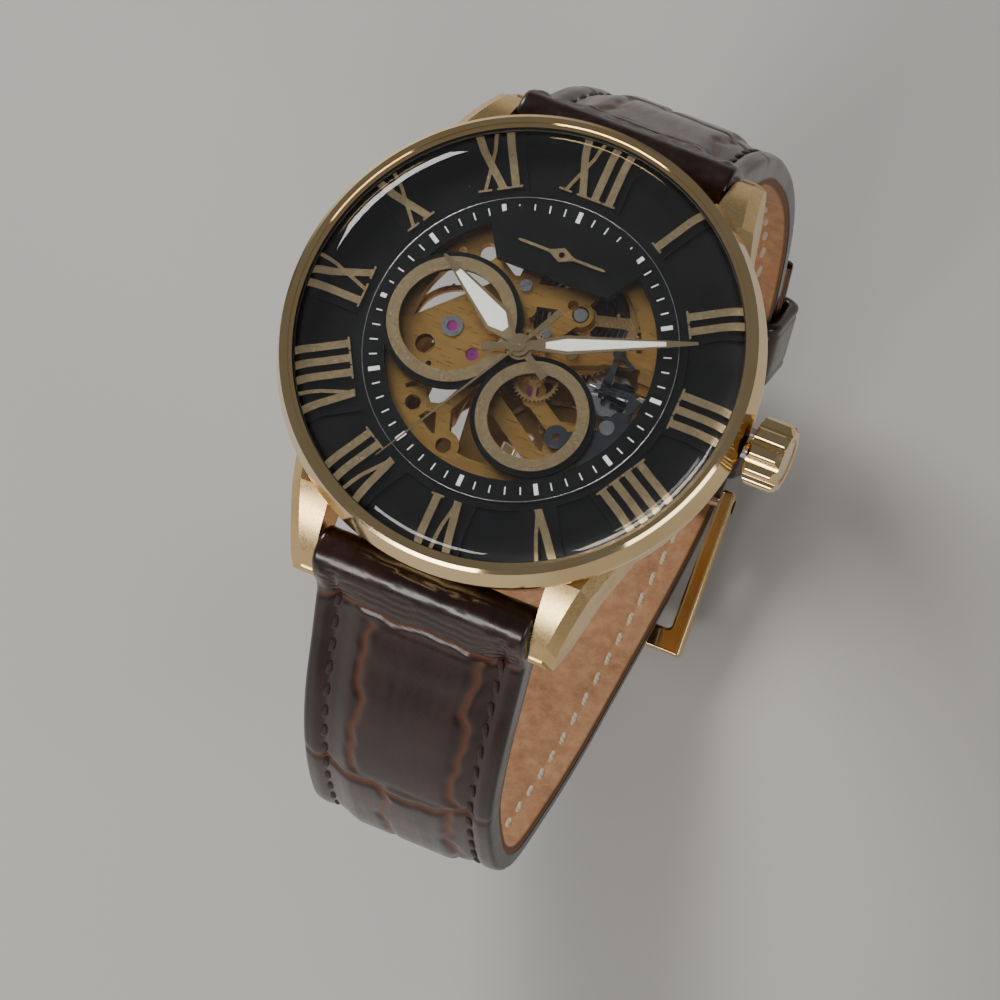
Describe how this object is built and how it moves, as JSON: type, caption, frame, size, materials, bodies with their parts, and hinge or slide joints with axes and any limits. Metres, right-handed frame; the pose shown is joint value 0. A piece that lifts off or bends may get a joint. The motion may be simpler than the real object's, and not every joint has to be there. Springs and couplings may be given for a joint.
{
  "type": "wristwatch",
  "caption": "Round skeleton automatic wristwatch, gold-coloured case, black dial with raised Roman numerals, domed crystal, fluted crown and a brown padded leather strap with a tongue buckle.",
  "frame": {"origin": "centre of the case back's outer face, where the watch rests on the wrist", "axes": "+Z out through the crystal, +Y to twelve o'clock, +X to three o'clock and the crown"},
  "size_m": [0.0498, 0.0768, 0.0757],
  "materials": {
    "gold_brushed": "light gold coating over steel, brushed lengthwise",
    "gold_polished": "light gold coating over steel, mirror polished",
    "crystal": "clear domed mineral glass",
    "back_glass": "clear flat glass",
    "dial_black": "matt black lacquer with satin panels",
    "dial_gold": "applied gold, polished bevels and satin tops",
    "movement_gold": "gilt brass with a grained surface",
    "wheel_brass": "gilt brass, circular grain",
    "steel": "polished steel",
    "dark_steel": "dark blued steel",
    "mainspring_steel": "dark spring steel",
    "ruby": "synthetic ruby",
    "gasket": "black rubber",
    "leather": "dark brown embossed leather, glossy, with orange-brown grooves",
    "lining": "tan suede lining",
    "keeper_leather": "glossy dark red-brown leather"
  },
  "bodies": {
    "case": {"case_middle": "gold_brushed", "bezel": "gold_polished", "crystal": "crystal", "crystal_gasket": "gasket", "crown_tube": "steel", "case_back": "gold_polished", "back_gasket": "gasket", "back_crystal": "back_glass", "dial": "dial_black", "window_rings": "dial_gold", "hour_numerals": "dial_gold", "dial_emblem": "dial_gold", "movement_ring": "movement_gold", "main_plate": "movement_gold", "barrel_bridge": "movement_gold", "train_bridge": "movement_gold", "balance_cock": "movement_gold", "pallet_bridge": "movement_gold", "jewels": "ruby", "shock_settings": "steel", "movement_screws": "steel", "setting_lever_spring": "dark_steel", "rotor_bearing": "steel", "strap_short": "leather", "strap_short_lining": "lining", "strap_long": "leather", "strap_long_lining": "lining", "fixed_keeper": "keeper_leather", "spring_bars": "steel"},
    "minute_train": {"centre_wheel": "wheel_brass", "cannon_pinion": "steel", "minute_hand": "dial_gold"},
    "hour_hand_body": {"hour_wheel": "wheel_brass", "hour_hand": "dial_gold"},
    "minute_wheel_body": {"minute_wheel": "wheel_brass"},
    "third_wheel_body": {"third_wheel": "wheel_brass"},
    "seconds_train": {"fourth_wheel": "wheel_brass", "seconds_hand": "dial_gold"},
    "escape_wheel_body": {"escape_wheel": "steel"},
    "pallet_fork_body": {"pallet_fork": "steel"},
    "balance": {"balance_wheel": "wheel_brass", "hairspring": "steel"},
    "barrel_body": {"barrel": "wheel_brass", "mainspring": "mainspring_steel"},
    "rotor_body": {"rotor": "movement_gold"},
    "winding_pinion_body": {"winding_pinion": "dark_steel"},
    "crown_and_stem": {"crown": "gold_polished", "winding_stem": "steel"},
    "sliding_pinion_body": {"sliding_pinion": "dark_steel"},
    "setting_lever_body": {"setting_lever": "dark_steel"},
    "yoke_body": {"yoke": "dark_steel"},
    "crown_wheel_body": {"crown_wheel": "steel"},
    "ratchet_body": {"ratchet_wheel": "steel"},
    "buckle_frame_body": {"buckle_frame": "gold_polished"},
    "buckle_tongue_body": {"buckle_tongue": "gold_polished"},
    "free_keeper_body": {"free_keeper": "keeper_leather"},
    "plunger_12_right_body": {"plunger_12_right": "steel"},
    "plunger_12_left_body": {"plunger_12_left": "steel"},
    "plunger_6_right_body": {"plunger_6_right": "steel"},
    "plunger_6_left_body": {"plunger_6_left": "steel"}
  },
  "joints": [
    {"name": "minute_turn", "type": "hinge", "parent": "case", "child": "minute_train", "pos_m": [0, 0, 0.0092], "axis": [0, 0, -1], "continuous": true},
    {"name": "hour_turn", "type": "hinge", "parent": "case", "child": "hour_hand_body", "pos_m": [0, 0, 0.0092], "axis": [0, 0, -1], "continuous": true},
    {"name": "minute_wheel_turn", "type": "hinge", "parent": "case", "child": "minute_wheel_body", "pos_m": [0.00235, -0.00186, 0.008], "axis": [0, 0, -1], "continuous": true},
    {"name": "third_wheel_turn", "type": "hinge", "parent": "case", "child": "third_wheel_body", "pos_m": [0.00246, -0.00303, 0.0048], "axis": [0, 0, -1], "continuous": true},
    {"name": "seconds_turn", "type": "hinge", "parent": "case", "child": "seconds_train", "pos_m": [0, 0, 0.0092], "axis": [0, 0, -1], "continuous": true},
    {"name": "escape_wheel_turn", "type": "hinge", "parent": "case", "child": "escape_wheel_body", "pos_m": [-0.00251, -0.00305, 0.0054], "axis": [0, 0, -1], "continuous": true},
    {"name": "barrel_turn", "type": "hinge", "parent": "case", "child": "barrel_body", "pos_m": [0.0036, 0.00553, 0.0062], "axis": [0, 0, -1], "continuous": true},
    {"name": "pallet_swing", "type": "hinge", "parent": "case", "child": "pallet_fork_body", "pos_m": [-0.00435, -0.00185, 0.0054], "axis": [0, 0, 1], "range_deg": [-5, 5]},
    {"name": "balance_swing", "type": "hinge", "parent": "case", "child": "balance", "pos_m": [-0.0072, 0, 0.0059], "axis": [0, 0, 1], "range_deg": [-270, 270]},
    {"name": "rotor_turn", "type": "hinge", "parent": "case", "child": "rotor_body", "pos_m": [0, 0, 0.0024], "axis": [0, 0, 1], "continuous": true},
    {"name": "crown_turn", "type": "hinge", "parent": "case", "child": "winding_pinion_body", "pos_m": [0.01, 0, 0.0066], "axis": [1, 0, 0], "continuous": true},
    {"name": "crown_pull", "type": "slide", "parent": "winding_pinion_body", "child": "crown_and_stem", "axis": [1, 0, 0], "range_m": [0, 0.001]},
    {"name": "sliding_pinion_shift", "type": "slide", "parent": "winding_pinion_body", "child": "sliding_pinion_body", "axis": [-1, 0, 0], "range_m": [0, 0.00061]},
    {"name": "setting_lever_swing", "type": "hinge", "parent": "case", "child": "setting_lever_body", "pos_m": [0.0119, -0.0029, 0.008], "axis": [0, 0, -1], "range_deg": [0, 20.2]},
    {"name": "yoke_swing", "type": "hinge", "parent": "case", "child": "yoke_body", "pos_m": [0.0086, 0.0033, 0.008], "axis": [0, 0, -1], "range_deg": [0, 12.2]},
    {"name": "crown_wheel_turn", "type": "hinge", "parent": "case", "child": "crown_wheel_body", "pos_m": [0.0086, 0, 0.003], "axis": [0, 0, 1], "continuous": true},
    {"name": "ratchet_turn", "type": "hinge", "parent": "case", "child": "ratchet_body", "pos_m": [0.0036, 0.00553, 0.003], "axis": [0, 0, 1], "continuous": true},
    {"name": "buckle_frame_swing", "type": "hinge", "parent": "case", "child": "buckle_frame_body", "pos_m": [0, 0.0092, -0.058], "axis": [1, 0, 0], "range_deg": [0, 6]},
    {"name": "buckle_tongue_swing", "type": "hinge", "parent": "buckle_frame_body", "child": "buckle_tongue_body", "pos_m": [0, 0.0092, -0.058], "axis": [1, 0, 0], "range_deg": [0, 8]},
    {"name": "free_keeper_slide", "type": "slide", "parent": "case", "child": "free_keeper_body", "axis": [0, 0.749, 0.6626], "range_m": [-0.0015, 0.0015]},
    {"name": "plunger_12_right_press", "type": "slide", "parent": "case", "child": "plunger_12_right_body", "axis": [-1, 0, 0], "range_m": [0, 0.0009], "stiffness_N_per_m": 400, "springref_m": -0.0006},
    {"name": "plunger_12_left_press", "type": "slide", "parent": "case", "child": "plunger_12_left_body", "axis": [1, 0, 0], "range_m": [0, 0.0009], "stiffness_N_per_m": 400, "springref_m": -0.0006},
    {"name": "plunger_6_right_press", "type": "slide", "parent": "case", "child": "plunger_6_right_body", "axis": [-1, 0, 0], "range_m": [0, 0.0009], "stiffness_N_per_m": 400, "springref_m": -0.0006},
    {"name": "plunger_6_left_press", "type": "slide", "parent": "case", "child": "plunger_6_left_body", "axis": [1, 0, 0], "range_m": [0, 0.0009], "stiffness_N_per_m": 400, "springref_m": -0.0006}
  ],
  "couplings": [
    {"joint": "minute_turn", "follows": "seconds_turn", "ratio": 0.016667},
    {"joint": "hour_turn", "follows": "seconds_turn", "ratio": 0.0013889},
    {"joint": "minute_wheel_turn", "follows": "seconds_turn", "ratio": -0.0055556},
    {"joint": "third_wheel_turn", "follows": "seconds_turn", "ratio": -0.125},
    {"joint": "escape_wheel_turn", "follows": "seconds_turn", "ratio": -10},
    {"joint": "barrel_turn", "follows": "seconds_turn", "ratio": -0.0027778},
    {"joint": "crown_wheel_turn", "follows": "crown_turn", "ratio": 0.46667},
    {"joint": "ratchet_turn", "follows": "crown_turn", "ratio": -0.31818},
    {"joint": "sliding_pinion_shift", "follows": "crown_pull", "ratio": 0.6},
    {"joint": "setting_lever_swing", "follows": "crown_pull", "rad_per_m": 350.9},
    {"joint": "yoke_swing", "follows": "crown_pull", "rad_per_m": 210.5}
  ]
}
